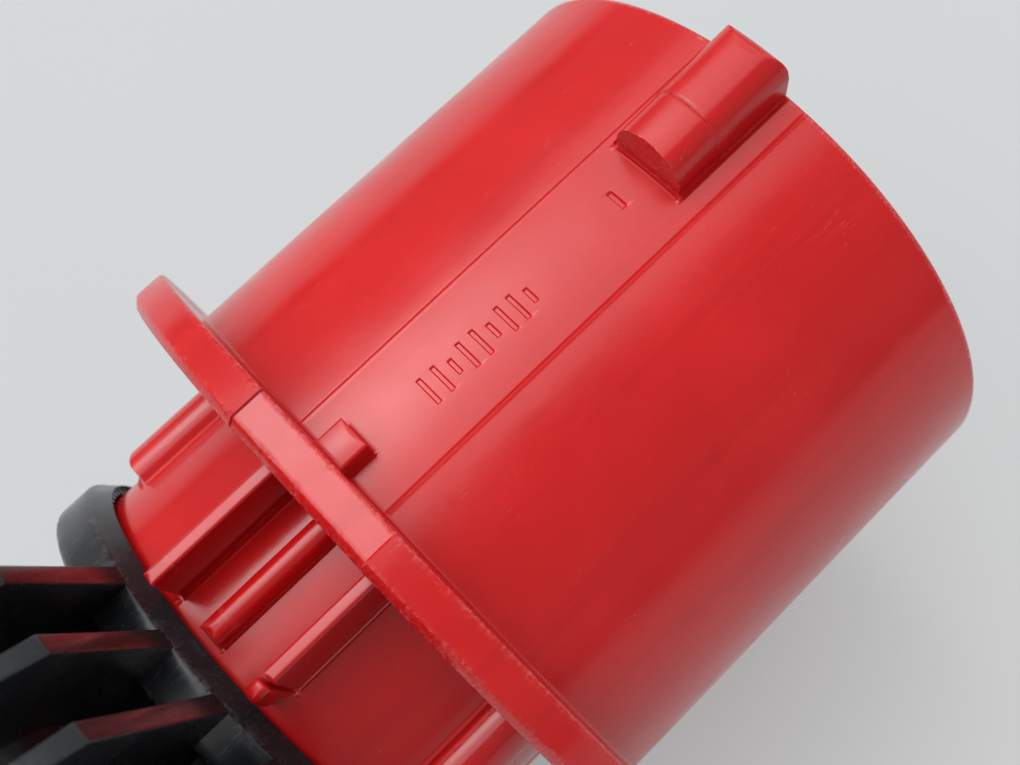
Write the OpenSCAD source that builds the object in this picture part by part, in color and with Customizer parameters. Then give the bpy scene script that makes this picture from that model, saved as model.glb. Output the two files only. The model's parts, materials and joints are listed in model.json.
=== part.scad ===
// Five-pole pin-and-sleeve industrial power plug.
// +X runs along the plug's axis towards its mouth, +Z is the side of the guide key.
// The origin is on the axis, in the plane of the flange's front face.
// In names, _r is a radius, _l a length, _w a width, _h a height, _t a thickness,
// _x, _y and _z are places along those axes, and _a is an angle round the axis.

/* [Shroud] */
// Outside radius of the moulded shroud
shroud_r = 31.75; // [31.25:0.25:32.5]
// Length of the shroud in front of the flange
shroud_l = 48.5; // [46:0.5:52]
// Wall thickness of the shroud
shroud_wall = 3.2; // [2.8:0.1:3.4]
// Radius of the rounding on the rim
rim_round = 0.7; // [0.4:0.1:1.0]

/* [Key and stub] */
// Width of the guide key
key_w = 7.2; // [6.4:0.2:9.2]
// Height of the key above the shroud
key_h = 5.1; // [4:0.1:5.6]
// Length of the key, back from the rim
key_l = 13.2; // [9:0.2:18]
// Width of the small orientation stub on the flange
stub_w = 3.3; // [2.4:0.1:4]
// Length of the stub
stub_l = 2.8; // [1.6:0.1:4]

/* [Flange and neck] */
// Outside radius of the flange
flange_r = 37.7; // [37:0.1:39]
// Thickness of the flange
flange_t = 3.8; // [3.4:0.1:4]
// Half width of the flat on the flange
flat_half = 7.8; // [5:0.2:9]
// Outside radius of the neck behind the flange
neck_r = 24.2; // [23.9:0.1:24.3]
// Height of the tall ribs above the neck's highest line
rib_h = 5.6; // [4.6:0.2:6]

/* [Contacts] */
// Radius of the circle the contacts stand on
pin_circle = 13.4; // [13:0.1:13.8]
// Radius of the phase and neutral pins
pin_r = 3.0; // [2.6:0.1:3.0]
// Radius of the earth pin
earth_r = 4.0; // [3.6:0.1:4.0]
// How far the phase and neutral pins reach in front of the flange
pin_reach = 38; // [34:0.5:40]

/* [Rear housing] */
// Outside radius of the lip that closes on the neck
lip_r = 27.0; // [26.9:0.1:27.6]
// Distance of the lip's outer front edge behind the flange's front face
lip_x = 19.4; // [19.2:0.1:19.8]
// Number of locking teeth round the inside of the lip
teeth = 96; // [96]
// Height of the grip wings from the axis
wing_h = 56.6; // [54:0.2:58]
// Base spacing of a wing's fins at the axis, widened a little towards the outer fins
fin_pitch = 7.0; // [6.8:0.1:7.2]
// Thickness of one fin near its foot
fin_t = 2.3; // [2:0.1:2.6]
// Radius of the widest part of the handle
handle_r = 26.4; // [26:0.1:27]

/* [Cable gland] */
// Radius of the cable passage through the seal
cable_r = 9.5; // [8:0.1:10]
// Outside radius of the gland nut
nut_r = 21.2; // [20.6:0.1:22]

/* [Hidden] */
$fn = 96;

// front shell
shroud_in = shroud_r - shroud_wall;
neck_in = 21.8;            // bore of the neck
neck_end = -21.6;          // rear end of the neck
web_x = 3.0;               // front face of the web inside the shroud
key_x = shroud_l - key_l;  // rear end of the key
flat_z = sqrt(flange_r*flange_r - flat_half*flat_half);
flat_a = 2;                // the flat is centred this far round from the key
rib_front = -flange_t + 0.6;  // the ribs run into the flange
rib_end = -17.2;           // rear end of the thin and low ribs, near the lip
lock_rib_end = -15.0;      // rear end of the rib in front of the lock slide
broad_rib_end = -14.9;
tall_rib_y = 4.6;          // distance of the tall ribs from the key's plane
tall_crest = 0.3;          // height of the rounding on a tall rib

// lock slide
lock_y = 8.0;              // the slide and its rib stand this far to the -Y side
lock_rib_top = neck_r + rib_h - 0.7;
lock_a = 18.9;             // angle of the slide's nose, and of a gap between the teeth

// contacts: places on the pin circle, counted in steps from the key towards -Y
places = 5;
step = 360/places;
earth = 0;
neutral = 1;
phase_1 = 4;
phase_2 = 3;
phase_3 = 2;
earth_extra = 3;           // the earth pin reaches this much further
barrel_r = 4.5;            // terminal barrel of a phase or neutral pin
earth_barrel_r = 5.0;
barrel_end = -47;          // rear end of the barrels
seat_x = -2;               // shoulder that the barrels rest on
screw_x = -41;             // station of the terminal screws
screw_r = 2.0;
screw_hole_r = 2.05;

// contact carrier
tower_r = 18.2;
slot_end = -21;            // front end of the slots over the barrels
plate_r = shroud_in - 0.35;
plate_t = 3.0;
plate_x = web_x + plate_t; // front face of the carrier's plate
collar_x = plate_x + 2.0;  // front faces of the collars round the pins
fix_circle = (neck_in + plate_r)/2 + 0.1;  // circle of the two carrier screws
fix_r = 1.25;

// rear housing
spigot_r = 21.2;
seal_x = -18.6;            // middle of the seal and its groove
tooth_root = 25.2;
tooth_tip = 24.5;
gap_half = 0.265;          // half width of a gap between teeth, in tooth pitches
hub_r = 21.6;
wing_a = 8.1;              // the middle fin of a wing leans this far from the key
wing_y = 2.25;             // and its foot is shifted this far to one side of the axis
fin_rise = 3.1;            // rise of the middle fin from its front corner to its crest
wing_foot = 14;            // height at which fins and webs start inside the handle

red = [0.80, 0.10, 0.09];
black = [0.09, 0.095, 0.10];
earth_metal = [0.78, 0.76, 0.70];
pin_metal = [0.80, 0.78, 0.72];

// ---------------------------------------------------------------- helpers
// a cylinder along +X from x0 to x1
module xcyl(x0, x1, radius)
  translate([x0, 0, 0]) rotate([0, 90, 0]) cylinder(h = x1 - x0, r = radius);

// turns a 2D shape with columns [radius, x] about the X axis
module turned() rotate([0, 90, 0]) rotate_extrude() children();

// turns a profile of [x, radius] points about the X axis
module lathe(points) turned() polygon([for (p = points) [p[1], p[0]]]);

// extrudes a 2D shape with columns [-z, y] along the X axis from x0 to x1
module extrude_x(x0, x1)
  translate([x0, 0, 0]) rotate([0, 90, 0]) linear_extrude(x1 - x0) children();

// a slab of [x, z] outline, its thickness centred on the X-Z plane
module slab(points, thickness)
  translate([0, thickness/2, 0]) rotate([90, 0, 0]) linear_extrude(thickness) polygon(points);

// places children at an angle round the axis, measured from +Z towards -Y
module at(angle) rotate([angle, 0, 0]) children();

// the same, moved out from the axis
module at_radius(angle, radius) at(angle) translate([0, 0, radius]) children();

// a bar along X with flat sides from z0 up and a rounded crest that tops out at z1
module bar(width, z0, z1, x0, x1, crest, steps = 12)
  extrude_x(x0, x1) polygon(concat(
    [[-z0, width/2], [-z0, -width/2]],
    [for (i = [0:steps]) let (turn = 180*i/steps)
      [-(z1 - crest + crest*sin(turn)), -width/2*cos(turn)]]));

// ---------------------------------------------------------------- front shell
module shell_body()
  lathe([
    // neck
    [neck_end, neck_in], [neck_end, neck_r - 0.4], [neck_end + 0.4, neck_r],
    // flange
    [-flange_t, neck_r], [-flange_t, flange_r - 0.9], [-flange_t + 0.8, flange_r],
    [-0.25, flange_r], [0, flange_r - 0.25],
    // shroud and its rounded rim
    [0, shroud_r + 0.35], [0.35, shroud_r], [shroud_l - rim_round, shroud_r],
    [shroud_l - 0.3*rim_round, shroud_r - 0.12*rim_round],
    [shroud_l - 0.06*rim_round, shroud_r - 0.4*rim_round],
    [shroud_l, shroud_r - 0.8*rim_round],
    [shroud_l, shroud_in + 0.5], [shroud_l - 0.5, shroud_in],
    // web inside
    [web_x, shroud_in], [web_x, neck_in]]);

module key()
  bar(key_w, shroud_in + 1.5, shroud_r + key_h, key_x, shroud_l - 0.3, crest = 2.4, steps = 24);

module stub()
  bar(stub_w, shroud_r - 1, shroud_r + 2.4, -1, stub_l, crest = 0.6, steps = 8);

// a rounded axial rib on the neck
module rib(angle, width, height, end)
  at(angle) bar(width, neck_r - 1.2, neck_r + height, end, rib_front, crest = width/2);

// a tall thin rib parallel to the key's plane
module tall_rib(y)
  translate([0, y, 0])
    bar(1.35, 22.6, neck_r + rib_h, rib_end, rib_front, crest = tall_crest);

module neck_ribs() {
  // tall ribs beside the key's plane; the -Y one stops short for the lock slide
  tall_rib(tall_rib_y);
  translate([0, -lock_y, 0])
    bar(1.3, 21.4, lock_rib_top, lock_rib_end, rib_front, crest = tall_crest);
  // tall pair on the far side
  for (y = [-tall_rib_y, tall_rib_y]) mirror([0, 0, 1]) tall_rib(y);
  // a low rib between the tall ones on each side
  for (angle = [2, 180]) rib(angle, 2.5, 2.0, rib_end);
  // broad ribs further round
  for (angle = [-57, 61, 121, 239]) rib(angle, 6.0, 2.6, broad_rib_end);
}

// places children at the two carrier screws
module at_fixings()
  for (angle = [90, 270]) at_radius(angle, fix_circle) children();

module front_shell()
  color(red) difference() {
    union() {
      difference() {
        shell_body();
        // shallow flat on the flange
        at(flat_a) translate([-flange_t - 2, -20, flat_z]) cube([flange_t + 4, 40, 10]);
      }
      key();
      stub();
      neck_ribs();
    }
    // self-tapping holes for the carrier screws
    at_fixings() xcyl(-1.6, web_x + 1, 1.3);
  }

// ---------------------------------------------------------------- contacts
function pin_radius(place) = place == earth ? earth_r : pin_r;
function barrel_radius(place) = place == earth ? earth_barrel_r : barrel_r;

// pin and terminal barrel in one piece
module contact(place, metal) {
  pin = pin_radius(place);
  barrel = barrel_radius(place);
  tip = pin_reach + (place == earth ? earth_extra : 0);
  color(metal) at_radius(place*step, pin_circle) difference() {
    lathe([
      [barrel_end, 0], [barrel_end, barrel - 0.4], [barrel_end + 0.4, barrel],
      [seat_x, barrel], [seat_x, pin + 0.4], [collar_x, pin + 0.4], [collar_x, pin],
      [tip - 1.6*pin, pin], [tip - 0.9*pin, 0.93*pin], [tip - 0.4*pin, 0.72*pin],
      [tip - 0.1*pin, 0.4*pin], [tip, 0]]);
    // wire hole, and the hole of the clamping screw
    xcyl(barrel_end - 1, screw_x + 9, barrel - 1.9);
    translate([screw_x, 0, 0]) cylinder(h = barrel + 1, r = screw_hole_r);
  }
}

module earth_pin() contact(earth, earth_metal);
module neutral_pin() contact(neutral, pin_metal);
module phase_pin_1() contact(phase_1, pin_metal);
module phase_pin_2() contact(phase_2, pin_metal);
module phase_pin_3() contact(phase_3, pin_metal);

// headless clamping screw with a hexagonal socket
module terminal_screw(place) {
  barrel = barrel_radius(place);
  color("silver") at(place*step) translate([screw_x, 0, pin_circle]) difference() {
    translate([0, 0, barrel - 4.0]) cylinder(h = 5.2, r = screw_r);
    translate([0, 0, barrel - 0.2]) cylinder(h = 3, r = 1.1, $fn = 6);
  }
}

module earth_terminal_screw() terminal_screw(earth);
module neutral_terminal_screw() terminal_screw(neutral);
module phase_terminal_screw_1() terminal_screw(phase_1);
module phase_terminal_screw_2() terminal_screw(phase_2);
module phase_terminal_screw_3() terminal_screw(phase_3);

// ---------------------------------------------------------------- contact carrier
// room for one contact: barrel bore, pin bore and a slot open outwards
module contact_space(place) {
  barrel = barrel_radius(place);
  slot_half = barrel - 0.6;
  xcyl(barrel_end - 1, seat_x, barrel + 0.05);
  xcyl(seat_x - 1, collar_x + 1, pin_radius(place) + 0.45);
  translate([barrel_end - 1, -slot_half, 0])
    cube([slot_end - barrel_end + 1, 2*slot_half, 12]);
}

module contact_carrier()
  color([0.13, 0.13, 0.14]) difference() {
    union() {
      // plug in the neck, and the plate in front of the web
      lathe([[-16, 0], [-16, neck_in - 0.7], [web_x, neck_in - 0.2], [web_x, plate_r],
             [plate_x - 0.5, plate_r], [plate_x, plate_r - 0.5], [plate_x, 0]]);
      // terminal tower
      xcyl(barrel_end + 2, -15, tower_r);
      // low collars round the pins
      for (place = [0:places - 1]) at_radius(place*step, pin_circle)
        xcyl(web_x, collar_x, pin_radius(place) + 2.2);
    }
    for (place = [0:places - 1]) at_radius(place*step, pin_circle) contact_space(place);
    // middle relief of the terminal tower
    xcyl(barrel_end, -22, 5.0);
    at_fixings() xcyl(web_x - 1, plate_x + 1, 1.6);
  }

// two screws with cross-slotted heads on the plate
module carrier_screws()
  color("silver") at_fixings() difference() {
    lathe([[-1.4, 0], [-0.6, fix_r], [plate_x, fix_r], [plate_x, 2.3],
           [plate_x + 1.1, 2.2], [plate_x + 1.7, 1.3], [plate_x + 1.8, 0]]);
    translate([plate_x + 0.7, -0.35, -1.5]) cube([2, 0.7, 3]);
    translate([plate_x + 0.7, -1.5, -0.35]) cube([2, 3, 0.7]);
  }

module housing_seal()
  color([0.15, 0.15, 0.15]) translate([seal_x, 0, 0]) turned()
    translate([20.98, 0]) circle(r = 0.75, $fn = 32);

// ---------------------------------------------------------------- rear housing
// [x, z] outline of one fin: front corner at height corner, top at height crest
function fin(corner, crest) = [
  [-lip_x - 3.4, wing_foot], [-lip_x - 0.05, lip_r - 1.5], [-lip_x - 0.1, corner],
  [-lip_x - 0.1 - 0.85*(crest - corner), crest],
  [-57, crest], [-66, crest - 9], [-74, 20], [-74, wing_foot]];

// [x, z] outline of the recessed web between the fins
function web(height) = [
  [-lip_x - 7.5, wing_foot], [-lip_x - 8, 38], [-lip_x - 14, height - 6.5],
  [-52, height - 6.5], [-61, height - 14], [-69, 20], [-69, wing_foot]];

// height of the front corner of fin k, counted from the middle one
function corner_height(k) = wing_h - (k == 0 ? fin_rise : abs(k) == 1 ? 6.4 : 7.1);

// a wing: five fins that lean towards each other outwards and thin towards their tips
module wing() {
  foot_half = fin_t/2 + 0.1;
  tip_half = fin_t/2 - 0.5;
  for (k = [-2:2])
    translate([0, -wing_y - fin_pitch*k - 0.55*k*abs(k), 0]) at(wing_a - k*abs(k))
      intersection() {
        slab(fin(corner_height(k), corner_height(k) + fin_rise + 0.4*abs(k)), 4);
        extrude_x(-80, -10)
          polygon([[-10, -foot_half], [-60, -tip_half], [-60, tip_half], [-10, foot_half]]);
      }
  translate([0, -wing_y, 0]) at(wing_a) slab(web(wing_h - 6.6), 28);
}

// [-z, y] outline of the lip's recess: a circle through the tooth tips,
// stepped out to the roots between the teeth
function tooth_gaps() = [
  for (i = [0:teeth - 1])
    // q is [offset in tooth pitches, radius]
    for (q = [[-0.5, tooth_tip], [-gap_half, tooth_tip], [-gap_half, tooth_root],
              [gap_half, tooth_root], [gap_half, tooth_tip]])
      let (angle = (i + q[0])*360/teeth) [-q[1]*cos(angle), -q[1]*sin(angle)]];

// the housing's turned body, and the lip with the locking teeth round its inside
module toothed_body() {
  lathe([
    // spigot, stepped root of the lip, hub
    [-16.9, 0], [-16.9, spigot_r], [-lip_x - 3.2, spigot_r], [-lip_x - 3.2, 24.0],
    [-lip_x - 4.0, 24.0], [-lip_x - 4.0, 23.4], [-lip_x - 5.2, 23.4], [-lip_x - 5.2, hub_r],
    // handle
    [-30.5, hub_r], [-34, handle_r - 1.2], [-36, handle_r], [-70, handle_r - 1.0],
    [-82, 19.8], [-84.5, 19.0],
    // tube inside the gland nut
    [-84.5, 17.2], [-100, 17.2], [-100, 0]]);
  difference() {
    lathe([[-16.8, 22.8], [-16.8, 24.0], [-lip_x, lip_r - 0.4], [-lip_x - 0.3, lip_r],
           [-lip_x - 3.8, lip_r], [-lip_x - 4.2, lip_r - 0.5], [-lip_x - 4.2, 22.8]]);
    at(lock_a) extrude_x(-lip_x - 2.9, -lip_x + 5.1) polygon(tooth_gaps());
    // the teeth start a little way inside the lip's mouth
    xcyl(-18.5, -14.5, tooth_root + 0.05);
  }
}

module rear_housing()
  color(black) difference() {
    union() {
      toothed_body();
      // both wings, kept clear of the recess and teeth inside the lip
      difference() {
        for (angle = [0, 180]) at(angle) wing();
        lathe([[-15, 0], [-15, 25.9], [-lip_x - 3.1, 25.9], [-lip_x - 3.1, 0]]);
      }
    }
    // inside: spigot, terminal space and gland bore
    lathe([[-16, 0], [-16, 20.2], [-17.5, 20.2], [-17.5, 19.2], [-32.6, 19.2],
           [-35, 23.4], [-69, 22.6], [-80, 14.6], [-101, 14.6], [-101, 0]]);
    // seal groove in the spigot
    translate([seal_x, 0, 0]) turned() translate([20.2, -0.95]) square([2.5, 1.9]);
  }

// locking slide behind the shorter tall rib
module lock_slide()
  color(red) {
    // nose, in line with a gap between two teeth
    at(lock_a) translate([-17.25, -0.33, neck_r + 0.1]) cube([1.75, 0.66, 0.8]);
    // foot in front of the lip, and the knob that reaches back over it
    translate([0, -lock_y, 0]) {
      bar(1.5, neck_r - 0.85, neck_r + 2.6, -15.9, -15.4, crest = 0.75);
      bar(1.5, neck_r + 1.2, lock_rib_top, -17.3, -15.4, crest = 0.5);
    }
  }

// ---------------------------------------------------------------- cable gland
module gland_seal()
  color([0.16, 0.16, 0.17])
    lathe([[-98.2, cable_r], [-98.2, 13.6], [-97, 14.45], [-84.2, 14.45], [-83, 13.4],
           [-83, cable_r + 1.2], [-84.4, cable_r]]);

module gland_thrust_ring()
  color([0.85, 0.85, 0.83])
    lathe([[-99.9, cable_r + 0.6], [-99.9, 14.4], [-98.4, 14.4], [-98.4, cable_r + 0.6]]);

// ring with eight slots cut in from its rear end
module gland_claw()
  color([0.2, 0.2, 0.21]) difference() {
    lathe([[-110, cable_r + 1.2], [-110, 12.4], [-104.5, 15.2], [-102.4, 15.2],
           [-102.4, 16.6], [-100.2, 16.6], [-100.2, cable_r + 1.2]]);
    for (i = [0:7]) at(i*45 + 22.5) translate([-111, -0.7, 0]) cube([8, 1.4, 20]);
  }

// nut with twelve grip ribs
module gland_nut()
  color(black) difference() {
    union() {
      lathe([[-115, 0], [-115, 14.5], [-113.6, 16.2], [-106, nut_r - 1.6],
             [-88, nut_r - 1.2], [-86.4, nut_r - 2], [-86.4, 0]]);
      for (i = [0:11]) at(i*30) translate([-105.5, -1.5, nut_r - 4]) cube([17.5, 3.0, 4]);
    }
    lathe([[-116, 0], [-116, cable_r + 2.6], [-111.3, cable_r + 2.6], [-110.8, 13.0],
           [-104.8, 16.0], [-104.0, 17.3], [-86, 17.3], [-86, 0]]);
  }

front_shell();
contact_carrier();
earth_pin();
neutral_pin();
phase_pin_1();
phase_pin_2();
phase_pin_3();
earth_terminal_screw();
neutral_terminal_screw();
phase_terminal_screw_1();
phase_terminal_screw_2();
phase_terminal_screw_3();
carrier_screws();
housing_seal();
rear_housing();
lock_slide();
gland_seal();
gland_thrust_ring();
gland_claw();
gland_nut();
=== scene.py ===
"""A round plug that lies along the X axis, which runs through its middle.

The red front shell reaches from a ribbed neck (x = -21.6 mm), over a flange whose front face
is at x = 0, to the open mouth of its shroud (x = 48.5 mm). The black rear housing takes the
neck and runs back to x = -100 mm, with a finned wing above and one below. A small red lock
slide sits where they meet. Sizes are in mm and become metres when a mesh is made. Angles are
in degrees, from +Z towards -Y. Front means +X, rear means -X.
"""
import bpy
import bmesh
import json
import math
from collections import namedtuple
import numpy as np
from mathutils import Vector, Matrix


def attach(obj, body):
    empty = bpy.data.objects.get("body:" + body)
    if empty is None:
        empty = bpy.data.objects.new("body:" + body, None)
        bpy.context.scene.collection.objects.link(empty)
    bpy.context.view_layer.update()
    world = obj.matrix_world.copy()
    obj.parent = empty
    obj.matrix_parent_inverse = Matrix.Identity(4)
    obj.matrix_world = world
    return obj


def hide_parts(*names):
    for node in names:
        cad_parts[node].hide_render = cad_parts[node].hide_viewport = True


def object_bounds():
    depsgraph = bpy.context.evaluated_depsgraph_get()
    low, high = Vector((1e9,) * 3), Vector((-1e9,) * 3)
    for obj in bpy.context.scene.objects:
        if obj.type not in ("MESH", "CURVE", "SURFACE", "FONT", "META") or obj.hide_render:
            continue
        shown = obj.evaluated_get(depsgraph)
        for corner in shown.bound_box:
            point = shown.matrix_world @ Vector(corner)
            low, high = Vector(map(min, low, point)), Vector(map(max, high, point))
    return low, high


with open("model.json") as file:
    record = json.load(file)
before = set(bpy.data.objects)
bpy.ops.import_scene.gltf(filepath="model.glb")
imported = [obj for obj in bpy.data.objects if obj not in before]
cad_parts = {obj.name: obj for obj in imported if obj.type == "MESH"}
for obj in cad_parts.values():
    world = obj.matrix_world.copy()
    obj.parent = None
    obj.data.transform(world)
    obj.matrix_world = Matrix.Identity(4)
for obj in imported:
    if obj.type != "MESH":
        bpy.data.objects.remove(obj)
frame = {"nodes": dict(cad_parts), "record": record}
cad_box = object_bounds()
MM = 0.001
DEG = math.pi / 180
scene = bpy.context.scene
made = []                       # (object, material slot) of every new piece


# ---------------------------------------------------------------- shared mesh tools
def place(obj, node, slot, replaced=None):
    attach(obj, node)
    if replaced:
        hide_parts(replaced)
    made.append((obj, slot))


def link_object(name, data):
    obj = bpy.data.objects.new(name, data)
    scene.collection.objects.link(obj)
    return obj


def smooth(mesh, sharp_angle):
    mesh.shade_smooth()
    mesh.set_sharp_from_angle(angle=sharp_angle * DEG)


def mesh_object(name, bm, sharp_angle, bevel=0.0):
    bmesh.ops.recalc_face_normals(bm, faces=bm.faces)
    mesh = bpy.data.meshes.new(name)
    bm.to_mesh(mesh)
    bm.free()
    obj = link_object(name, mesh)
    if bevel:
        mod = obj.modifiers.new("bevel", "BEVEL")
        mod.width = bevel * MM
        mod.segments = 3
        mod.limit_method = "ANGLE"
        mod.angle_limit = 28 * DEG
        graph = bpy.context.evaluated_depsgraph_get()
        bevelled = bpy.data.meshes.new_from_object(obj.evaluated_get(graph))
        obj.modifiers.clear()
        obj.data = bevelled
    smooth(obj.data, sharp_angle)
    return obj


def turn(points, angle):
    """Rotates points [.., 3] about X, from +Z towards -Y."""
    c, s = math.cos(angle * DEG), math.sin(angle * DEG)
    p = np.array(points, float)
    y = p[..., 1] * c - p[..., 2] * s
    z = p[..., 1] * s + p[..., 2] * c
    p[..., 1] = y
    p[..., 2] = z
    return p


class Skin:
    """A closed surface round X: rows of points, one column per angle, with wear 0..1, which also
    paints highlight lines on the rear lip.
    """

    def __init__(self, angles, least_gap):
        angles = np.array(sorted(((a + 180) % 360) - 180 for a in angles))
        keep = [0]
        for i in range(1, len(angles)):
            if angles[i] - angles[keep[-1]] > least_gap:
                keep.append(i)
        self.deg = angles[keep]
        self.count = len(self.deg)
        self.sin, self.cos = np.sin(self.deg * DEG), np.cos(self.deg * DEG)
        self.rows, self.wear_and_highlight = [], []

    def noise(self, x, cell, around, seed):
        """Smooth noise in -1..1: cells of length cell along X, and a number of them round it."""
        table = np.random.default_rng(seed).uniform(-1, 1, (160, around))
        u = x / cell + 60.0
        v = (self.deg % 360.0) / 360.0 * around
        i = math.floor(u)
        j = np.floor(v).astype(int)
        fu, fv = u - i, v - j
        fu = fu * fu * (3 - 2 * fu)
        fv = fv * fv * (3 - 2 * fv)
        j0, j1 = j % around, (j + 1) % around
        return (table[i, j0] * (1 - fu) * (1 - fv) + table[i + 1, j0] * fu * (1 - fv)
                + table[i, j1] * (1 - fu) * fv + table[i + 1, j1] * fu * fv)

    def dents(self, around, seed, above):
        """Scattered dents round an edge: the noise above a threshold."""
        return np.clip(self.noise(0, 1, around, seed) - above, 0, 1)

    def from_angle(self, angle, period=360):
        """Signed angle of each column from a given one, wrapped to half a period either side."""
        return ((self.deg - angle + period / 2) % period) - period / 2

    def ring(self, x, radius):
        r = np.broadcast_to(np.asarray(radius, float), (self.count,))
        return np.stack([np.full(self.count, float(x)), -r * self.sin, r * self.cos], 1)

    def raised(self, x, radius, bars):
        """Ring with bars standing on it; bars: (angle, base radius, height as function of y)."""
        points = self.ring(x, radius)
        for angle, base_r, height_at in bars:
            off = self.from_angle(angle)
            near = np.abs(off) < 40
            y = base_r * np.sin(off * DEG)
            height = np.where(near, height_at(y), 0.0)
            z = np.sqrt(np.maximum(base_r * base_r - y * y, 0)) + height
            bar = turn(np.stack([np.full(self.count, x), -y, z], 1), angle)
            higher = np.hypot(bar[:, 1], bar[:, 2]) > np.hypot(points[:, 1], points[:, 2])
            use = near & (height > 1e-6) & higher
            points = np.where(use[:, None], bar, points)
        return points

    def add(self, points, wear_and_highlight=0.0):
        self.rows.append(points)
        self.wear_and_highlight.append(np.broadcast_to(np.asarray(wear_and_highlight, float), (self.count,)).copy())

    def add_rings(self, stations):
        for x, radius in stations:
            self.add(self.ring(x, radius))

    def build(self, name):
        points = np.array(self.rows)
        index = np.arange(points.shape[0] * self.count).reshape(-1, self.count)
        beside = np.roll(index, -1, 1)
        quads = np.stack([index.ravel(), beside.ravel(), np.roll(beside, -1, 0).ravel(),
                          np.roll(index, -1, 0).ravel()], 1)
        coords = (points.reshape(-1, 3) * MM).astype(np.float32)
        mesh = bpy.data.meshes.new(name)
        mesh.vertices.add(len(coords))
        mesh.vertices.foreach_set("co", coords.ravel())
        mesh.loops.add(quads.size)
        mesh.loops.foreach_set("vertex_index", quads.ravel().astype(np.int32))
        mesh.polygons.add(len(quads))
        mesh.polygons.foreach_set("loop_start", np.arange(0, quads.size, 4, dtype=np.int32))
        mesh.update(calc_edges=True)
        mesh.validate()
        layer = mesh.attributes.new("wear_and_highlight", "FLOAT", "POINT")
        wear_and_highlight = np.clip(np.array(self.wear_and_highlight), 0, 1).astype(np.float32)
        layer.data.foreach_set("value", wear_and_highlight.ravel())
        obj = link_object(name, mesh)
        # drop the zero-area slivers that coincident grid lines leave, then face outwards
        bm = bmesh.new()
        bm.from_mesh(mesh)
        bmesh.ops.remove_doubles(bm, verts=bm.verts, dist=2e-6)
        bmesh.ops.dissolve_degenerate(bm, dist=1e-6, edges=bm.edges)
        bmesh.ops.recalc_face_normals(bm, faces=bm.faces)
        bm.to_mesh(mesh)
        bm.free()
        smooth(mesh, 34)
        return obj


# ---------------------------------------------------------------- raised bars
def arc_drop(d, radius):
    """Gap between a quarter arc and its tangent: radius at d = 0, nothing at d = radius."""
    d = np.clip(d, 0, radius)
    return radius - np.sqrt(np.maximum(radius * radius - (radius - d) ** 2, 0))


def bar_height(y, width, height, crown, edge_r, foot):
    """Crowned bar with rounded edges; a low curved strip, foot wide, runs along each side."""
    a = np.abs(y)
    half = width / 2
    k = np.clip(a - (half - edge_r), 0, edge_r)
    edge = edge_r - np.sqrt(np.maximum(edge_r * edge_r - k * k, 0))
    top = height - crown * np.clip(a / half, 0, 1) ** 2 - edge
    strip = np.where(a < half + foot, arc_drop(half + foot - a, foot), 0.0)
    return np.where(a <= half, top, strip)


def end_cap(inside, height, edge_r, foot):
    """Ceiling on a bar at a distance inside its free end."""
    if inside < -foot:
        return 0.0
    if inside < 0:
        return float(arc_drop(foot + inside, foot))
    if inside < edge_r:
        return float(height - arc_drop(inside, edge_r))
    return 1e3


def bar_angles(angle, width, base_r, foot, shift=0.0):
    """Column angles that follow a bar's profile."""
    half = width / 2
    ys = [half + foot * t for t in (1.02, 0.7, 0.45, 0.25, 0.1)]
    ys += [half + 0.012, half - 0.003]
    ys += [half * t for t in (0.99, 0.97, 0.94, 0.89, 0.82, 0.72, 0.58, 0.4, 0.2)]
    ys = [0.0] + ys + [-y for y in ys]
    return [angle + math.degrees(math.asin((y + shift) / base_r)) for y in ys]


# ---------------------------------------------------------------- front shell: sizes
SHROUD_R, SHROUD_X, BORE_R = 31.75, 48.5, 28.55
RIM_L, RIM_DROP = 0.7, 0.55                   # rounding of the shroud's front rim
FLANGE_R, FLANGE_T = 37.7, 3.8
NECK_R, NECK_BORE_R = 24.2, 21.8
NECK_REAR_X, NECK_TAPER = -21.6, 0.4
ROOT_R = 0.4                                  # fillet where neck and shroud meet the flange
FLAT_A, FLAT_HALF_W = 2.0, 7.74               # flat on the flange's edge
FLAT_HALF_A = math.degrees(math.asin(FLAT_HALF_W / FLANGE_R))
FLAT_DEPTH = 0.22
SEAMS = (-8.8, 10.4)                          # angles of the parting lines
KEY_W, KEY_H, KEY_X0, KEY_X1 = 7.2, 5.1, 35.3, 48.2
KEY_EDGE_R, KEY_FOOT, KEY_SPLIT_X = 1.9, 0.45, 39.9
PAD_W, PAD_X1, PAD_FOOT = 3.3, 2.8, 0.3       # small pad in front of the flange
TICKS = [(9.3, 2.7), (10.8, 2.7), (12.2, 1.5), (13.6, 2.7), (15.1, 2.7), (16.5, 1.5),
         (17.9, 2.7), (19.3, 2.7), (20.7, 1.5)]          # sunk ticks: x, length round X
TICK_W, TICK_D, TICK_A = 0.42, 0.17, 1.7
NOTCH_X, NOTCH_HALF_W, NOTCH_HALF_L, NOTCH_D = 31.6, 0.3, 1.0, 0.2

# neck ribs; shift is the sideways offset in the frame turned to the rib's angle
Rib = namedtuple("Rib", "angle shift width height crown edge_r foot rear_x")
RIB_REAR_X, SHORT_RIB_REAR_X = -17.2, -15.0
SLIDE_SHIFT = 8.0                             # the short rib and the lock slide's knob


def tall_rib(angle, shift, top=29.8, width=1.35, rear_x=RIB_REAR_X):
    height = top - math.sqrt(NECK_R ** 2 - shift ** 2)
    return Rib(angle, shift, width, height, 0.02, 0.3, 0.5, rear_x)


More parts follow.
